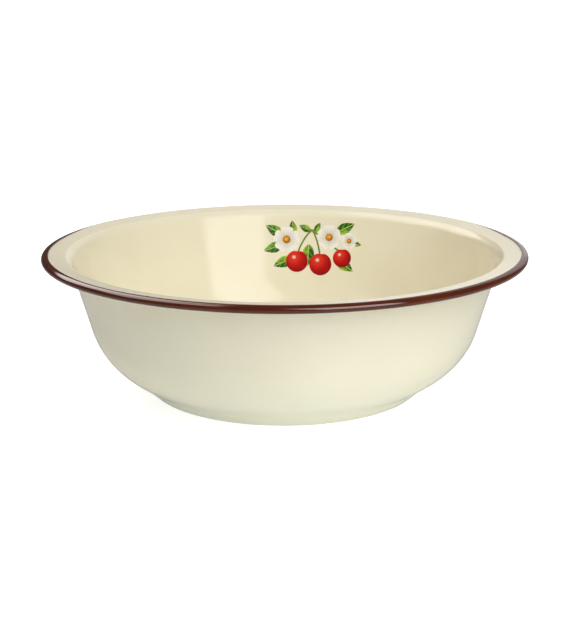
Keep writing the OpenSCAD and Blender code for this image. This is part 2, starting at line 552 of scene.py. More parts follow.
class Pen:
    """Point that is pushed along to draw a wire, starting from a plane merged into its middle."""

    def __init__(self, name: str, plane: Plane, start: Point) -> None:
        """Sets the point down.

        Args:
            name: Name of the piece that is drawn.
            plane: Plane to draw in.
            start: First point.
        """
        deselect_all()
        self.plane = plane
        self.at = start
        bpy.ops.mesh.primitive_plane_add(size=MM)
        self.piece = bpy.context.active_object
        self.piece.name = name
        bpy.ops.object.mode_set(mode="EDIT")
        bpy.ops.mesh.merge(type="CENTER")
        bpy.ops.transform.translate(value=self.lift(start))

    def lift(self, point: Point) -> Vector:
        """Takes a point of the drawing plane into space."""
        return Vector((point[0], 0, point[1]) if self.plane is Plane.SECTION else (point[0], point[1], 0))

    def straight(self, to: Point, longest: float = STRAIGHT_STEP) -> None:
        """Extrudes the point along a straight stretch.

        Args:
            to: End of the stretch.
            longest: Longest step on the way.
        """
        way = self.lift(to) - self.lift(self.at)
        steps = max(1, math.ceil(way.length / longest))
        for _ in range(steps):
            bpy.ops.mesh.extrude_region_move(TRANSFORM_OT_translate={"value": way / steps})
        self.at = to

    def bend(self, middle: Point, turn: float, widest: float = BEND_STEP) -> None:
        """Spins the point round a middle, in a section.

        Args:
            middle: Middle of the bend.
            turn: Angle in radians, positive to the left.
            widest: Widest step on the way.
        """
        # The spin operator turns clockwise round its axis
        steps = max(2, math.ceil(abs(turn) / widest))
        bpy.ops.mesh.spin(steps=steps, angle=turn, center=self.lift(middle), axis=(0, 1, 0))
        x, y = self.at[0] - middle[0], self.at[1] - middle[1]
        self.at = (
            middle[0] + x * math.cos(turn) - y * math.sin(turn),
            middle[1] + x * math.sin(turn) + y * math.cos(turn))

    def turn_round(self) -> Piece:
        """Spins the wire once round the Z axis.

        Returns:
            A sheet of revolution, with all its normals on one side.
        """
        bpy.ops.mesh.select_all(action="SELECT")
        bpy.ops.mesh.spin(steps=AROUND, angle=math.tau, center=(0, 0, 0), axis=(0, 0, 1))
        bpy.ops.mesh.select_all(action="SELECT")
        bpy.ops.mesh.remove_doubles(threshold=MERGE)
        bpy.ops.mesh.normals_make_consistent(inside=False)
        bpy.ops.object.mode_set(mode="OBJECT")
        return self.piece

    def close(self) -> None:
        """Lays one face into a flat outline that has come back to its start."""
        bpy.ops.mesh.select_all(action="SELECT")
        bpy.ops.mesh.remove_doubles(threshold=MERGE)
        bpy.ops.mesh.edge_face_add()

    def face_up(self) -> Piece:
        """Ends a flat drawing.

        Returns:
            A flat sheet whose normals point up.
        """
        bpy.ops.object.mode_set(mode="OBJECT")
        if self.piece.data.polygons[0].normal.z < 0:
            bpy.ops.object.mode_set(mode="EDIT")
            bpy.ops.mesh.flip_normals()
            bpy.ops.object.mode_set(mode="OBJECT")
        return self.piece

    def fill(self, cuts: int = 3) -> Piece:
        """Fills a flat outline with a fine fan, so that it can follow the wall.

        Args:
            cuts: Cuts of each edge of the fan.

        Returns:
            A flat sheet whose normals point up.
        """
        self.close()
        bpy.ops.mesh.poke()
        bpy.ops.mesh.select_all(action="SELECT")
        bpy.ops.mesh.subdivide(number_cuts=cuts)
        bpy.ops.mesh.normals_make_consistent(inside=False)
        return self.face_up()


@dataclass(frozen=True)
class Bend:
    """Rounded corner of the outline at some depth: where it starts, its middle and its turn."""

    start: Point
    middle: Point
    turn: float


@dataclass(frozen=True)
class BowlOutline:
    """Outline of the bowl's outer face from the axis out to the rolled bead, as the solids have it."""

    rim_r: float
    height: float
    # Foot: radius where it stands, and height and flare of its step
    foot_r: float = 89.3 * MM
    foot_h: float = 8.0 * MM
    foot_flare: float = 8.8 * MM
    # Wall: height where the belly turns into it, and its lean
    belly_h: float = 25.0 * MM
    wall_draft: float = math.radians(16.0)
    # Flange: width with the bead, rise towards the bead, and the bead's radius
    flange_w: float = 17.6 * MM
    flange_rise: float = math.radians(5.0)
    bead_r: float = 2.2 * MM
    # Base: width of its ring, height of the raised panel, and width of the slope between them
    ring_w: float = 10.3 * MM
    panel_h: float = 1.5 * MM
    panel_slope: float = 4.0 * MM
    # Radii that round the corners, from the axis outwards
    panel_bend: float = 6.0 * MM
    foot_bend: float = 3.0 * MM
    crease_bend: float = 20.0 * MM
    belly_bend: float = 54.0 * MM
    shoulder_bend: float = 6.5 * MM
    # Tighter edge in which the inner face of the flange ends, which the solids don't have
    shoulder_edge: float = 1.0 * MM
    # Thickness of the steel with all coats, thickness of a cover coat, and turn of the bead to its end
    wall_t: float = 1.5 * MM
    cover_t: float = 0.25 * MM
    curl_turn: float = math.radians(277.8)

    @property
    def curl(self) -> Point:
        """Middle of the rolled bead."""
        return self.rim_r - self.bead_r, self.height - self.bead_r

    def rim_point(self, along: float, level: float) -> Point:
        """Finds a point of the top of the flange or of the bead.

        Args:
            along: Way along the bead from where the flange meets it, or back along the flange if negative.
            level: Height above the enamel's face.

        Returns:
            Radius and height.
        """
        angle = math.pi / 2 + self.flange_rise - max(along, 0.0) / self.bead_r
        back = min(along, 0.0)
        reach = self.bead_r + level
        return (
            self.curl[0] + reach * math.cos(angle) + back * math.cos(self.flange_rise),
            self.curl[1] + reach * math.sin(angle) + back * math.sin(self.flange_rise))

    def rim_place(self, point: Point) -> Point:
        """Finds where a point lies on the rim.

        Args:
            point: Radius and height.

        Returns:
            Way along the rim's face and height above it, as rim_point takes them.
        """
        x, z = point[0] - self.curl[0], point[1] - self.curl[1]
        back = x * math.cos(self.flange_rise) + z * math.sin(self.flange_rise)
        if back < 0 and z > 0:
            return back, z * math.cos(self.flange_rise) - x * math.sin(self.flange_rise) - self.bead_r
        angle = (math.pi / 2 + self.flange_rise - math.atan2(z, x)) % math.tau
        return angle * self.bead_r, math.hypot(x, z) - self.bead_r

    def corners(self) -> list[tuple[Point, float]]:
        """Lists the corners of the outer face.

        Returns:
            Each corner from the axis outwards, with the radius that rounds it.
        """
        panel = self.foot_r - self.ring_w - self.panel_slope
        end_x, end_z = self.rim_point(0.0, -self.wall_t)
        shoulder = (self.rim_r - self.flange_w,
                    end_z - (end_x - self.rim_r + self.flange_w) * math.tan(self.flange_rise))
        belly = (shoulder[0] - (shoulder[1] - self.belly_h) * math.tan(self.wall_draft), self.belly_h)
        return [
            ((0.0, self.panel_h), 0.0), ((panel, self.panel_h), self.panel_bend),
            ((panel + self.panel_slope, 0.0), self.panel_bend), ((self.foot_r, 0.0), self.foot_bend),
            ((self.foot_r + self.foot_flare, self.foot_h), self.crease_bend), (belly, self.belly_bend),
            (shoulder, self.shoulder_bend), ((end_x, end_z), 0.0)]

    def edged_corners(self) -> list[tuple[Point, float]]:
        """Lists the corners below the inner face, where the flange ends in a tighter edge.

        Returns:
            Each corner with its radius. The shoulder has two, of which the lower one follows the solid.
        """
        corners = self.corners()
        before, at, after = (Vector(point) for point, _ in corners[-3:])
        into, out = (at - before).normalized(), (after - at).normalized()
        turn = into.angle(out)
        cut = self.shoulder_bend * (math.tan(turn / 2) - math.tan(turn / 4))
        edge = [(tuple(at - into * cut), self.shoulder_bend), (tuple(at + out * cut), self.shoulder_edge)]
        return corners[:-2] + edge + corners[-1:]

    def bends(self, face: Face) -> list[Bend]:
        """Works out the bends of one face.

        Args:
            face: Side of the bowl.

        Returns:
            The bends from the axis outwards.
        """
        found = []
        inside = face is Face.INSIDE
        corners, depth = (self.edged_corners(), self.wall_t) if inside else (self.corners(), 0.0)
        for (before, _), (at, radius), (after, _) in zip(corners, corners[1:], corners[2:]):
            into = (Vector(at) - Vector(before)).normalized()
            out = (Vector(after) - Vector(at)).normalized()
            turn = math.atan2(into.x * out.y - into.y * out.x, into.dot(out))
            side = math.copysign(1.0, turn)
            start = Vector(at) - into * radius * math.tan(abs(turn) / 2)
            left = Vector((-into.y, into.x))
            found.append(Bend(tuple(start + left * depth), tuple(start + left * radius * side), turn))
        return found

    def draw(self, name: str, face: Face) -> Pen:
        """Draws one face from the axis to where the flange meets the bead.

        Args:
            name: Name of the new piece.
            face: Side of the bowl.

        Returns:
            The pen at the end of the outline.
        """
        depth = self.wall_t if face is Face.INSIDE else 0.0
        pen = Pen(name, Plane.SECTION, (0.0, self.panel_h + depth))
        for bend in self.bends(face):
            pen.straight(bend.start)
            pen.bend(bend.middle, bend.turn)
        pen.straight(self.rim_point(0.0, depth - self.wall_t))
        return pen


@dataclass
class CreamCoats:
    """The two cream cover coats: one in the bowl and over its flange, one below and round the outside."""

    outline: BowlOutline
    # How far the inner coat runs over the bead, and how many pins the bowl stood on in the fire
    over_bead: float = 1.9 * MM
    pins: int = 3

    def build(self) -> Piece:
        """Builds both coats.

        Returns:
            The coat in the bowl, which carries the print.
        """
        inside = self.turn("cream_inside", Face.INSIDE)
        outside = self.turn("cream_outside", Face.OUTSIDE)
        ring_r = self.outline.foot_r - self.outline.ring_w / 2
        angles = [math.tau * pin / self.pins for pin in range(self.pins)]
        marks = tuple((ring_r * math.cos(angle), ring_r * math.sin(angle)) for angle in angles)
        # Opaque warm white with a soft gloss: the mirror is weaker than on clear glass, as in the photograph
        plain = VitreousEnamel("vitreous_enamel_cream", "#EDE7CD", "#EAE3C8", ior=1.37)
        marked = replace(plain, name="vitreous_enamel_cream_outside", pin_marks=marks)
        hand_over(inside, plain.material(), "cream_enamel", "cover_coat_inside")
        hand_over(outside, marked.material(), "cream_enamel", "cover_coat_outside")
        return inside

    def turn(self, name: str, face: Face) -> Piece:
        """Turns one coat, and thickens it from the drawn face towards the steel.

        Args:
            name: Name of the coat.
            face: Side of the steel that the coat lies on.

        Returns:
            The closed coat. The inner one runs on over the top of the bead, below the brown.
        """
        line = self.outline
        pen = line.draw(name, face)
        if face is Face.INSIDE:
            pen.bend(line.curl, -self.over_bead / line.bead_r)
        coat = pen.turn_round()
        base = min(coat.data.polygons, key=lambda p: math.hypot(p.center.x, p.center.y))
        inwards = -face.value * math.copysign(1.0, base.normal.z)
        apply_modifier(coat, "SOLIDIFY", thickness=line.cover_t, offset=inwards, use_even_offset=True)
        smooth(coat)
        return coat


@dataclass
class BrownRim:
    """Brown enamel that is brushed round the bead: a broad roll at the front and sides, thin at the back."""

    outline: BowlOutline
    cream: Piece
    # Height above the rim's face, depth of the edge below it, and width of the edge's slope
    lift: float = 0.04 * MM
    sink: float = 0.03 * MM
    edge_w: float = 0.35 * MM
    # Where the brown starts along the rim's face at the front and at the back, and from where on it is fixed
    edge_front: float = -2.05 * MM
    edge_back: float = 1.0 * MM
    fixed: float = 2.8 * MM
    # Angles from the back between which it grows from thin to broad
    narrow_from: float = math.radians(50.0)
    wide_from: float = math.radians(77.0)
    # Roll: half sizes of its section, middle from the bead's, lowest height, and start before the brown's edge
    roll_size: Point = (4.1 * MM, 2.34 * MM)
    roll_shift: Point = (-1.9 * MM, 0.14 * MM)
    roll_low: float = -0.18 * MM
    roll_before: float = 1.0 * MM
    # Size, count in a full turn and phase of each wave of its edge
    waver: tuple[tuple[float, int, float], ...] = (
        (0.10 * MM, 5, 1.0), (0.07 * MM, 11, 2.2), (0.04 * MM, 23, 0.4))
    # Steps of its outline on the flange and round the bead, and the turn from which on an edge stays sharp
    flange_step: float = 0.6 * MM
    bead_step: float = math.radians(7.0)
    sharp: float = math.radians(50.0)

    def build(self) -> None:
        """Builds and dresses the rim."""
        line = self.outline
        pen = Pen("brown_rim", Plane.SECTION, line.rim_point(self.edge_front, -self.sink))
        pen.straight(line.rim_point(self.edge_front + self.edge_w, self.lift))
        pen.straight(line.rim_point(0.0, self.lift), self.flange_step)
        pen.bend(line.curl, -line.curl_turn, self.bead_step)
        rim = pen.turn_round()
        self.waver_edge(rim)
        inwards = self.inwards(rim)
        apply_modifier(rim, "SOLIDIFY", thickness=line.cover_t, offset=inwards, use_even_offset=True)
        self.follow_roll(rim, math.inf)
        self.follow_roll(self.cream, 0.0)
        smooth(rim, self.sharp)
        # Dark red-brown under a sharper gloss than the cream, with the shorter ripples of a brush
        finish = VitreousEnamel(
            "vitreous_enamel_brown", "#57240E", "#4B1D0A", roughness=0.07, ior=1.6, ripple=9.0 * MM,
            ripple_depth=0.02 * MM)
        hand_over(rim, finish.material(), "brown_enamel", "rim_enamel")

    def inwards(self, rim: Piece) -> float:
        """Tells which way Solidify has to go to thicken the coat towards the steel."""
        crown = max(rim.data.polygons, key=lambda p: p.center.z)
        return -1.0 if crown.normal.z > 0 else 1.0

    def broad(self, turn: float) -> float:
        """Tells how broad the brown is.

        Args:
            turn: Angle round the axis from the back, either way, in radians.

        Returns:
            Share from 0, where it is thin, to 1, with soft ends.
        """
        share = min(max((abs(turn) - self.narrow_from) / (self.wide_from - self.narrow_from), 0.0), 1.0)
        return share * share * (3 - 2 * share)

    def edge_at(self, turn: float) -> float:
        """Finds where the brown starts.

        Args:
            turn: Angle round the axis from the back, either way, in radians.

        Returns:
            Way along the rim's face, as rim_point takes it.
        """
        edge = self.edge_back + self.broad(turn) * (self.edge_front - self.edge_back)
        return edge + sum(size * math.sin(count * turn + phase) for size, count, phase in self.waver)

    def places(self, coat: Piece) -> Iterator[tuple[bpy.types.MeshVertex, float, float, float]]:
        """Goes through the points of a coat.

        Args:
            coat: Coat on the rim.

        Yields:
            Each point, its angle round the axis from the back, and its place along and above the rim's face.
        """
        for vertex in coat.data.vertices:
            place = self.outline.rim_place((math.hypot(vertex.co.x, vertex.co.y), vertex.co.z))
            yield vertex, math.atan2(vertex.co.x, vertex.co.y), *place

    def put(self, vertex: bpy.types.MeshVertex, along: float, level: float) -> None:
        """Moves a point in its own section of the rim.

        Args:
            vertex: Point of a coat.
            along: New way along the rim's face.
            level: New height above it.
        """
        old = math.hypot(vertex.co.x, vertex.co.y)
        radius, height = self.outline.rim_point(along, level)
        vertex.co = (vertex.co.x * radius / old, vertex.co.y * radius / old, height)

    def waver_edge(self, rim: Piece) -> None:
        """Slides the points near the brown's edge along the rim's face to where the brush left it.

        Args:
            rim: The brown, before it has its thickness.
        """
        for vertex, turn, along, level in self.places(rim):
            if along <= self.fixed:
                share = (self.fixed - along) / (self.fixed - self.edge_front)
                self.put(vertex, self.fixed - share * (self.fixed - self.edge_at(turn)), level)

    def roll_height(self, along: float) -> float:
        """Finds how high the roll of brown glass stands above the rim's face.

        Args:
            along: Way along the rim's face, as rim_point takes it.

        Returns:
            Height of the roll: negative where it is flatter than the bead, and 0 where it doesn't reach.
        """
        line = self.outline
        foot = Vector(line.rim_point(along, 0.0))
        up = (Vector(line.rim_point(along, MM)) - foot).normalized()
        off = foot - Vector(line.curl) - Vector(self.roll_shift)
        # Both are scaled so that the flattened section of the roll becomes a circle of radius 1
        up, off = (Vector((v.x / self.roll_size[0], v.y / self.roll_size[1])) for v in (up, off))
        reach = off.dot(up) ** 2 - up.length_squared * (off.length_squared - 1)
        below = along > line.bead_r * (math.pi / 2 + line.flange_rise)
        if below or reach < 0:
            return 0.0
        return max((math.sqrt(reach) - off.dot(up)) / up.length_squared, self.roll_low)

    def follow_roll(self, coat: Piece, highest: float) -> None:
        """Moves the outer face of a coat to the roll of glass that gathers on the bead, all but at the back.

        Args:
            coat: The brown, or the cream that lies below it.
            highest: Most that the coat may be lifted.
        """
        for vertex, turn, along, level in self.places(coat):
            if along >= self.edge_front - self.roll_before and abs(level) <= self.outline.cover_t / 2:
                self.put(vertex, along, level + self.broad(turn) * min(self.roll_height(along), highest))


class PrintLayer(Enum):
    """Printed colour: CAD node, slot in the record, and thickness, which grows with each firing."""

    LEAVES = ("print_leaves", "leaf_colour", 0.06 * MM)
    STEMS = ("print_stems", "stem_colour", 0.08 * MM)
    BERRIES = ("print_berries", "berry_colour", 0.10 * MM)
    PETALS = ("print_petals", "petal_colour", 0.12 * MM)
    CENTRES = ("print_centres", "centre_colour", 0.14 * MM)


@dataclass
class FiredPrint:
    """Spray of berries, leaves and blossoms that is fired onto the back of the inner wall."""

    outline: BowlOutline
    wall: Piece
    # Its middle: how far below the rim and right of the back it lies, and how far off the wall it is drawn
    drop: float = 28.9 * MM
    turn: float = math.radians(8.9)
    stand_off: float = 20.0 * MM
    # Share of a colour's thickness over which its motifs are spread
    spread: float = 0.3
    # Berry: diameter, and depth and width of the dent at its stem as a share of the radius and in radians
    berry_d: float = 16.5 * MM
    dent: Point = (0.09, 0.3)
    # Blossom: diameter and count of petals
    blossom_d: float = 20.0 * MM
    petals: int = 5
    # Petal, in shares of the radius: width, width of its UV map, foot, and depth and width of its notch
    petal_w: float = 0.7
    petal_map: float = 0.9
    petal_foot: float = 0.1
    notch: Point = (0.07, 0.12)
    # Powers that round a petal at its foot and its tip, and the share of its length where the notch starts
    petal_round: Point = (0.75, 4)
    notch_from: float = 0.9
    # Middle of a blossom: diameter, and count and depth of its lobes
    centre_d: float = 6.0 * MM
    lobes: int = 9
    lobe: float = 0.04
    # Leaf: length, width, power that moves its widest place to its foot, and count and depth of its teeth
    leaf_l: float = 17.0 * MM
    leaf_w: float = 9.0 * MM
    leaf_power: float = 0.8
    teeth: int = 10
    tooth: float = 0.07
    # Stem: width, and in shares how thin it gets, how much wider its knot is and how far along that fades
    stem_w: float = 1.3 * MM
    stem_thin: float = 0.9
    knot: Point = (0.5, 0.08)
    # Places: millimetres right of and above the middle, direction in degrees and share of the full size
    leaves: tuple[Place, ...] = (
        (-22, 9, 152, 0.9), (-22, 2, 201, 0.9), (-14, 10, 100, 0.65), (-1, 13, 156, 0.6), (2, 12, 64, 0.5),
        (18, 12, 26, 0.95), (30, 4, -6, 0.48), (19, -8, -34, 0.95), (-2.5, 3, -91, 1), (-14, -8, 205, 0.95))
    berries: tuple[Place, ...] = ((-11, -10.2, 0, 1), (7, -12, 0, 1.03), (23.5, -7, 0, 0.85))
    blossoms: tuple[Place, ...] = ((-19.5, 6, 0, 1), (13, 8.5, 0, 0.95), (28.5, 6, 0, 0.62))
    # Stem: where it starts, where it is drawn towards and where it ends, in millimetres
    stems: tuple[tuple[Point, Point, Point], ...] = (
        ((0, 14), (-7, 8), (-10.5, -4)), ((0, 14), (5, 5), (6.5, -6)), ((0, 14), (14, 2), (22, -2)))

    def build(self) -> None:
        """Builds, lays and dresses the five colours."""
        around = [90 + 360 / self.petals * k for k in range(self.petals)]
        petals = tuple((u, v, way, share) for u, v, _, share in self.blossoms for way in around)
        self.lay(PrintLayer.LEAVES, self.copies(self.draw_leaf(), self.leaves), LeafColour(
            "fired_leaf_green", "#B4C83C", "#5E9A2C", "#2A5E1C", "#C4D672"))
        self.lay(PrintLayer.STEMS, [self.draw_stem(course) for course in self.stems], StemColour(
            "fired_stem_green", "#93AA48", "#66862E", "#40601C"))
        self.lay(PrintLayer.BERRIES, self.copies(self.draw_berry(), self.berries), BerryColour(
            "fired_berry_red", "#E2412C", "#BE1A15", "#6E0A0C", "#F6D2C4"))
        self.lay(PrintLayer.PETALS, self.copies(self.draw_petal(), petals), PetalColour(
            "fired_petal_white", "#F5F2EA", "#E8E4D8", "#B9B2AC", "#C9CE96"))
        self.lay(PrintLayer.CENTRES, self.copies(self.draw_centre(), self.blossoms), CentreColour(
            "fired_centre_gold", "#F0C040", "#D98A22", "#8E3A10", "#9C4212"))

    def chart(self, motif: Piece, low: Point, size: Point) -> Piece:
        """Gives a flat motif its UV map.

        Args:
            motif: Motif in the XY plane.
            low: Corner of the motif that gets 0, 0.
            size: Width and height that get 1.

        Returns:
            The same motif.
        """
        # The plane that the pen starts from brings an empty map along
        layer = motif.data.uv_layers.active
        for loop in motif.data.loops:
            at = motif.data.vertices[loop.vertex_index].co
            layer.data[loop.index].uv = ((at.x - low[0]) / size[0], (at.y - low[1]) / size[1])
        return motif

    def draw_edge(self, name: str, ring: list[Point]) -> Pen:
        """Draws the edge of a flat motif.

        Args:
            name: Name of the motif.
            ring: Points of its edge, each one once.

        Returns:
            The pen, back at the first point.
        """
        pen = Pen(name, Plane.FLAT, ring[0])
        for point in ring[1:] + ring[:1]:
            pen.straight(point)
        return pen

    def draw_round(self, name: str, diameter: float, edge: Callable[[float], float], points: int) -> Piece:
        """Draws a round motif about the origin.

        Args:
            name: Name of the motif.
            diameter: Its full diameter.
            edge: Share of the radius at an angle in radians.
            points: Points of its edge.

        Returns:
            Flat motif with its UV map.
        """
        ring = []
        for k in range(points):
            angle = math.tau * k / points
            reach = diameter / 2 * edge(angle)
            ring.append((reach * math.cos(angle), reach * math.sin(angle)))
        low = -diameter / 2
        return self.chart(self.draw_edge(name, ring).fill(), (low, low), (diameter, diameter))

    def draw_berry(self) -> Piece:
        """Draws a full-size berry with a dent where its stem enters."""
        deep, wide = self.dent
        return self.draw_round(
            "berry", self.berry_d, points=72,
            edge=lambda a: 1 - deep * math.exp(-((a - math.pi / 2) / wide) ** 2))

    def draw_centre(self) -> Piece:
        """Draws the middle of a full-size blossom with a slightly lobed edge."""
        return self.draw_round(
            "centre", self.centre_d, points=54,
            edge=lambda a: 1 - self.lobe + self.lobe * math.cos(self.lobes * a))

    def draw_leaf(self) -> Piece:
        """Draws a full-size leaf along +X, with small teeth that point to its tip.

        Returns:
            Flat leaf with its UV map.
        """
        steps = 40
        upper = []
        for k in range(1, steps):
            share = k / steps
            tooth = 1 + self.tooth * ((share * self.teeth) % 1.0 - 0.5)
            half = self.leaf_w / 2 * math.sin(math.pi * share ** self.leaf_power) * tooth
            upper.append((self.leaf_l * share, half))
        lower = [(x, -y) for x, y in reversed(upper)]
        pen = self.draw_edge("leaf", [(0.0, 0.0)] + upper + [(self.leaf_l, 0.0)] + lower)
        return self.chart(pen.fill(), (0.0, -self.leaf_w / 2), (self.leaf_l, self.leaf_w))

    def draw_petal(self) -> Piece:
        """Draws one petal of a full-size blossom along +X, with a shallow notch in its tip.

        Returns:
            Flat petal with its UV map, which runs a little past 0 and 1 at the sides of the petal.
        """
        steps = 20
        reach = self.blossom_d / 2
        deep, wide = self.notch
        at_foot, at_tip = self.petal_round
        upper = []
        for k in range(1, steps + 1):
            share = math.sin(math.pi / 2 * k / steps)
            half = self.petal_w * reach * share ** at_foot * math.sqrt(1 - share ** at_tip)
            notch = deep * math.exp(-(half / (wide * reach)) ** 2) if share > self.notch_from else 0.0
            upper.append((reach * (self.petal_foot + (1 - self.petal_foot) * share - notch), half))
        lower = [(x, -y) for x, y in reversed(upper[:-1])]
        pen = self.draw_edge("petal", [(self.petal_foot * reach, 0.0)] + upper + lower)
        width = self.petal_map * reach
        return self.chart(pen.fill(), (0.0, -width / 2), (reach, width))

    def draw_stem(self, course: tuple[Point, Point, Point]) -> Piece:
        """Draws one stem in its place, as a strip that is a little wider at its knot.

        Args:
            course: Where it starts, where it is drawn towards and where it ends, in millimetres.

        Returns:
            Flat strip with its UV map.
        """
        steps = 24
        wider, fades = self.knot
        start, towards, end = (Vector(p) * MM for p in course)
        sides: list[tuple[Vector, Vector]] = []
        for k in range(steps + 1):
            t = k / steps
            at = start * (1 - t) ** 2 + towards * 2 * t * (1 - t) + end * t ** 2
            ahead = ((towards - start) * (1 - t) + (end - towards) * t).normalized()
            share = self.stem_thin + wider * math.exp(-t / fades)
            half = Vector((-ahead.y, ahead.x)) * self.stem_w / 2 * share
            sides.append((at + half, at - half))
        ring = [left for left, _ in sides] + [right for _, right in reversed(sides)]
        pen = self.draw_edge("stem", [tuple(point) for point in ring])
        pen.close()
        bpy.ops.mesh.quads_convert_to_tris()
        strip = pen.face_up()
        layer = strip.data.uv_layers.active
        for loop in strip.data.loops:
            at = strip.data.vertices[loop.vertex_index].co
            near = min(range(2 * steps + 2), key=lambda k: (ring[k] - at.to_2d()).length)
            along = min(near, 2 * steps + 1 - near) / steps
            layer.data[loop.index].uv = (along, 0.0 if near <= steps else 1.0)
        return strip

    def copies(self, motif: Piece, places: tuple[Place, ...]) -> list[Piece]:
        """Copies a full-size motif to its places and removes the first one.

        Args:
            motif: Full-size motif about the origin.
            places: Place of each copy.

        Returns:
            The copies, each with its own mesh.
        """
        made = []
        for u, v, way, share in places:
            copy = motif.copy()
            copy.data = motif.data.copy()
            bpy.context.scene.collection.objects.link(copy)
            turned = Matrix.Rotation(math.radians(way), 4, "Z") @ Matrix.Scale(share, 4)
            copy.data.transform(Matrix.Translation((u * MM, v * MM, 0)) @ turned)
            made.append(copy)
        bpy.data.objects.remove(motif)
        return made

    def lay(self, layer: PrintLayer, motifs: list[Piece], finish: FiredColour) -> None:
        """Joins the motifs of one colour, lays them on the wall and gives them their thickness.

        Args:
            layer: Printed colour that they make.
            motifs: Flat motifs in the plane of the print.
            finish: Their finish.
        """
        node, slot, thickness = layer.value
        # Each motif is a little thinner than the one before, so that no two faces lie at one height
        for number, motif in enumerate(motifs):
            group = motif.vertex_groups.new(name="level")
            weight = 1.0 - self.spread * number / len(motifs)
            group.add(range(len(motif.data.vertices)), weight, "REPLACE")
        select_only(*motifs)
        bpy.ops.object.join()
        piece = bpy.context.active_object
        piece.name = node.replace("print", "fired")
        line = self.outline
        shoulder = line.corners()[-2][0]
        height = line.height - self.drop
        radius = (shoulder[0] - (shoulder[1] - height) * math.tan(line.wall_draft)
                  - line.wall_t / math.cos(line.wall_draft))
        lean = Matrix.Rotation(math.pi / 2 - line.wall_draft, 4, "X")
        piece.matrix_world = (
            Matrix.Rotation(-self.turn, 4, "Z") @ Matrix.Translation((0, radius, height))
            @ lean @ Matrix.Translation((0, 0, self.stand_off)))
        apply_modifier(
            piece, "SHRINKWRAP", target=self.wall, wrap_method="PROJECT", use_project_z=True,
            use_negative_direction=True, use_positive_direction=False)
        select_only(piece)
        bpy.ops.object.transform_apply(location=True, rotation=True, scale=True)
        apply_modifier(piece, "SOLIDIFY", thickness=thickness, offset=1.0, vertex_group="level")
        smooth(piece)
        hand_over(piece, finish.material(), slot, node)


@dataclass
class HiddenLayers:
    """Steel pressing and ground coats, which keep their solids below the coloured enamel."""

    nodes: dict[str, Piece]

    def dress(self) -> None:
        """Gives the carried-over solids their finishes."""
        steel = RolledSteel("cold_rolled_steel").material()
        # Thin dark glass with cobalt, which grips the steel: blue-black, and duller than the coats over it
        ground = VitreousEnamel(
            "cobalt_ground_enamel", "#23262E", "#1B1D24", roughness=0.25, peel_depth=0.002 * MM).material()
        finishes = {"steel_shell": steel, "ground_coat_inside": ground, "ground_coat_outside": ground}
        for name, material in finishes.items():
            for slot in self.nodes[name].material_slots:
                slot.material = material
            LOG.info("%s: solid dressed as %s", name, material.name)


@dataclass(frozen=True)
class SoftBox:
    """Cloth-fronted lamp with rounded corners, brighter in its middle than at its edge.

    Attributes:
        name: Name of its object and its material.
        turn: Angle from the camera's side round to the right, in degrees.
        rise: Angle above the floor, in degrees.
        away: Distance from the bowl.
        size: Width and height.
        radiance: Brightness of its middle, where 1 is white.
        corner: Share of the half size that its rounded and fading edge takes.
        colour: Colour of its light.
        aim: Height above the floor that it looks at.
    """

    name: str
    turn: float
    rise: float
    away: float
    size: Point
    radiance: float
    corner: float
    colour: str = "#FFFFFF"
    aim: float = 50.0 * MM

    def hang(self) -> None:
        """Hangs the box so that it looks at the bowl and stays out of the picture itself."""
        deselect_all()
        bpy.ops.mesh.primitive_plane_add(size=1.0)
        box = bpy.context.active_object
        box.name = self.name
        way = direction(self.turn, self.rise)
        box.location = way * self.away + Vector((0, 0, self.aim))
        box.rotation_euler = way.to_track_quat("Z", "Y").to_euler()
        box.scale = (*self.size, 1.0)
        box.visible_camera = False
        box.data.materials.append(self.cloth())

    def cloth(self) -> Material:
        """Makes the glowing cloth, which fades towards its rounded edge.

        Returns:
            The material of the box.
        """
        material = bpy.data.materials.new(f"{self.name}_cloth")
        add = empty_tree(material)
        inner = 0.5 * (1 - self.corner)
        spot = add("TexCoord", give="UV")
        spot = add("VectorMath", (spot, (0.5, 0.5, 0.0)), operation="SUBTRACT")
        spot = add("VectorMath", (spot,), operation="ABSOLUTE")
        spot = add("VectorMath", (spot, (inner, inner, 0.0)), operation="SUBTRACT")
        spot = add("VectorMath", (spot, (0.0, 0.0, 0.0)), operation="MAXIMUM")
        edge = add("VectorMath", (spot,), operation="LENGTH")
        strength = add("MapRange", (edge, 0.0, 0.5 * self.corner, self.radiance, 0.0), **SOFT_ENDS)
        light = add("Emission", {"Color": linear(self.colour), "Strength": strength})
        add("OutputMaterial", {"Surface": light})
        return material


@dataclass(frozen=True)
class WhiteBoard:
    """Board behind the bowl that shows only in the gloss of its glass.

    Attributes:
        turn: Angle from the camera's side round to the right, in degrees.
        rise: Angle above the floor, in degrees.
        white: Angle from its middle up to which it has its full brightness, in degrees.
        end: Angle from its middle at which it has faded out, in degrees.
        radiance: Brightness of its middle, where 1 is white.
    """

    turn: float
    rise: float
    white: float
    end: float
    radiance: float


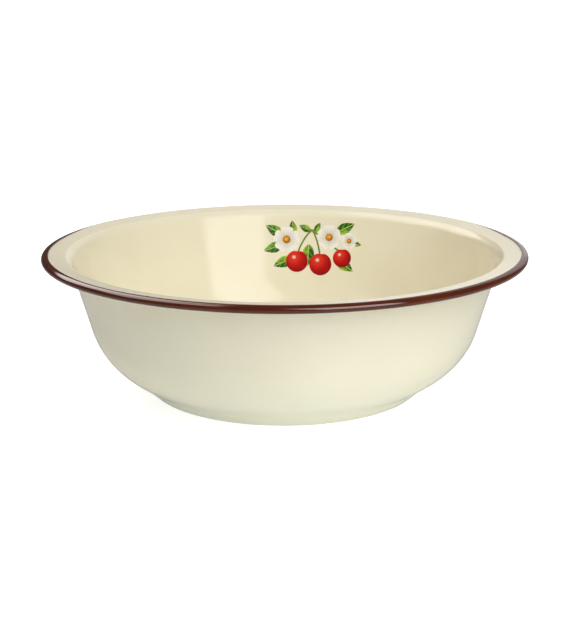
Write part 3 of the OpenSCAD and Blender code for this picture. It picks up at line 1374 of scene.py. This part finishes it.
@dataclass
class Studio:
    """White floor in a dim room, two white boards, three soft boxes and the camera of the photograph."""

    # Radius of the floor, gap below the bowl, sides of the floor's edge and its own colour
    floor_r: float = 8.0
    floor_drop: float = 0.05 * MM
    floor_sides: int = 64
    floor_colour: str = "#CCCCCA"
    # What the camera sees on top of that at the bowl, and the distances between which it grows to white
    floor_shown: float = 0.72
    white_from: float = 0.25
    white_to: float = 1.0
    # Brightness of the floor in the gloss of the glass, near the bowl and far from it
    gloss_near: float = 0.06
    gloss_far: float = 0.25
    # Soft light that the floor throws up: colour, strength, middle, and from where to where it fades out
    fill_colour: str = "#E6F1FF"
    floor_fill: float = 0.61
    fill_middle: tuple[float, float, float] = (-0.09, 0.0, 0.0)
    fill_from: float = 0.15
    fill_to: float = 0.65
    # Brightness of the room around, and the boards that the flange mirrors
    room: float = 0.06
    boards: tuple[WhiteBoard, ...] = (
        WhiteBoard(166.0, 16.0, 8.0, 25.0, 0.66), WhiteBoard(168.0, 3.0, 8.0, 14.0, 0.82))
    # The key box gives the window on the inner wall, and the others the light on the flange and on the brown
    boxes: tuple[SoftBox, ...] = (
        SoftBox("key_box", 32.8, 37.4, 1.15, (0.9, 1.38), 4.8, 0.3),
        SoftBox("back_box", 220.0, 41.5, 1.2, (0.84, 0.86), 3.45, 0.25, "#FFF6F2"),
        SoftBox("left_box", 255.0, 58.0, 1.2, (0.72, 0.8), 3.0, 0.2, "#FFF6F2"))
    # Focal length and sensor width in millimetres, and place and axes as they were fitted to the photograph
    lens: float = 81.18
    sensor: float = 36.0
    eye: tuple[float, float, float] = (0.06 * MM, -924.72 * MM, 291.77 * MM)
    eye_right: tuple[float, float, float] = (0.99999, -0.00093, -0.00354)
    eye_up: tuple[float, float, float] = (0.00366, 0.25511, 0.96691)
    eye_back: tuple[float, float, float] = (0.0, -0.96691, 0.25511)

    def build(self) -> None:
        """Sets up the camera, the surroundings, the floor and the lights."""
        bpy.context.scene.view_settings.view_transform = "Standard"
        self.add_camera()
        self.add_world()
        self.add_floor()
        for box in self.boxes:
            box.hang()

    def add_camera(self) -> None:
        """Places the camera."""
        data = bpy.data.cameras.new("camera")
        data.lens = self.lens
        data.sensor_width = self.sensor
        data.dof.use_dof = False
        camera = bpy.data.objects.new("camera", data)
        bpy.context.scene.collection.objects.link(camera)
        axes = Matrix((self.eye_right, self.eye_up, self.eye_back)).transposed()
        camera.matrix_world = Matrix.Translation(self.eye) @ axes.to_4x4()
        bpy.context.scene.camera = camera

    def mirrored(self, add: Adder) -> Socket:
        """Adds nodes that tell whether a ray shows the background in a gloss or through glass.

        Args:
            add: Adds a node to the world or to the floor.

        Returns:
            Output socket that is 1 for such a ray and 0 for any other.
        """
        gloss = add("LightPath", give="Is Glossy Ray")
        through = add("LightPath", give="Is Transmission Ray")
        return add("Math", (gloss, through), operation="MAXIMUM")

    def add_world(self) -> None:
        """Makes a dim room that is white to the camera, and shows white boards in a gloss."""
        world = bpy.data.worlds.new("room_and_backdrop")
        bpy.context.scene.world = world
        add = empty_tree(world)
        way = add("TexCoord", give="Generated")
        seen: float | Socket = self.room
        for board in self.boards:
            facing = add("VectorMath", (way, direction(board.turn, board.rise)), operation="DOT_PRODUCT")
            end, white = (math.cos(math.radians(angle)) for angle in (board.end, board.white))
            lit = add("MapRange", (facing, end, white, self.room, board.radiance), **SOFT_ENDS)
            seen = add("Math", (seen, lit), operation="MAXIMUM")
        seen = add("Math", (self.mirrored(add), seen), operation="MULTIPLY")
        camera = add("LightPath", give="Is Camera Ray")
        seen = add("Math", (seen, camera), operation="MAXIMUM")
        strength = add("Math", (seen, self.room), operation="MAXIMUM")
        background = add("Background", {"Color": WHITE, "Strength": strength})
        add("OutputWorld", {"Surface": background})

    def add_floor(self) -> None:
        """Lays the floor, which takes the bowl's shadow."""
        deselect_all()
        below = (0, 0, -self.floor_drop)
        bpy.ops.mesh.primitive_circle_add(
            vertices=self.floor_sides, radius=self.floor_r, fill_type="NGON", location=below)
        floor = bpy.context.active_object
        floor.name = "floor"
        material = bpy.data.materials.new("matt_white_floor")
        add = empty_tree(material)
        # Matt paper: it scatters what falls on it, and shows no gloss of its own
        matt = add("BsdfDiffuse", {"Color": linear(self.floor_colour)})
        camera = add("LightPath", give="Is Camera Ray")
        gloss = self.mirrored(add)
        place = add("TexCoord", give="Object")
        away = add("VectorMath", (place,), operation="LENGTH")
        aside = add("VectorMath", (place, self.fill_middle), operation="DISTANCE")
        # To the camera it grows to white, at the bowl it throws soft light, and in a gloss it stays dim
        fill = add("MapRange", (aside, self.fill_from, self.fill_to, self.floor_fill, 0.0), **SOFT_ENDS)
        shown = add("MapRange", (away, self.white_from, self.white_to, self.floor_shown, 1.0), **SOFT_ENDS)
        glow = add("Mix", {"Factor": camera, "A": fill, "B": shown})
        glow = add("Mix", {"Factor": gloss, "A": glow, "B": self.gloss_near})
        tint = add("Mix", {"Factor": camera, "A": linear(self.fill_colour), "B": WHITE}, data_type="RGBA")
        light = add("Emission", {"Color": tint, "Strength": glow})
        both = add("AddShader", (matt, light))
        # Far from the bowl, a gloss shows the floor in one even tone
        far = add("MapRange", (away, self.fill_from, self.fill_to), **SOFT_ENDS)
        far = add("Math", (far, gloss), operation="MULTIPLY")
        dim = add("Emission", {"Strength": self.gloss_far})
        seen = add("MixShader", (far, both, dim))
        add("OutputMaterial", {"Surface": seen})
        floor.data.materials.append(material)


def main() -> None:
    """Builds the bowl's pieces in order."""
    logging.basicConfig(level=logging.INFO, format="%(name)s: %(message)s")
    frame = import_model()
    low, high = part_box("rim_enamel")
    outline = BowlOutline(rim_r=(high.x - low.x) / 2, height=high.z)
    Studio().build()
    HiddenLayers(frame["nodes"]).dress()
    inside = CreamCoats(outline).build()
    BrownRim(outline, inside).build()
    FiredPrint(outline, inside).build()


if __name__ == "__main__":
    main()
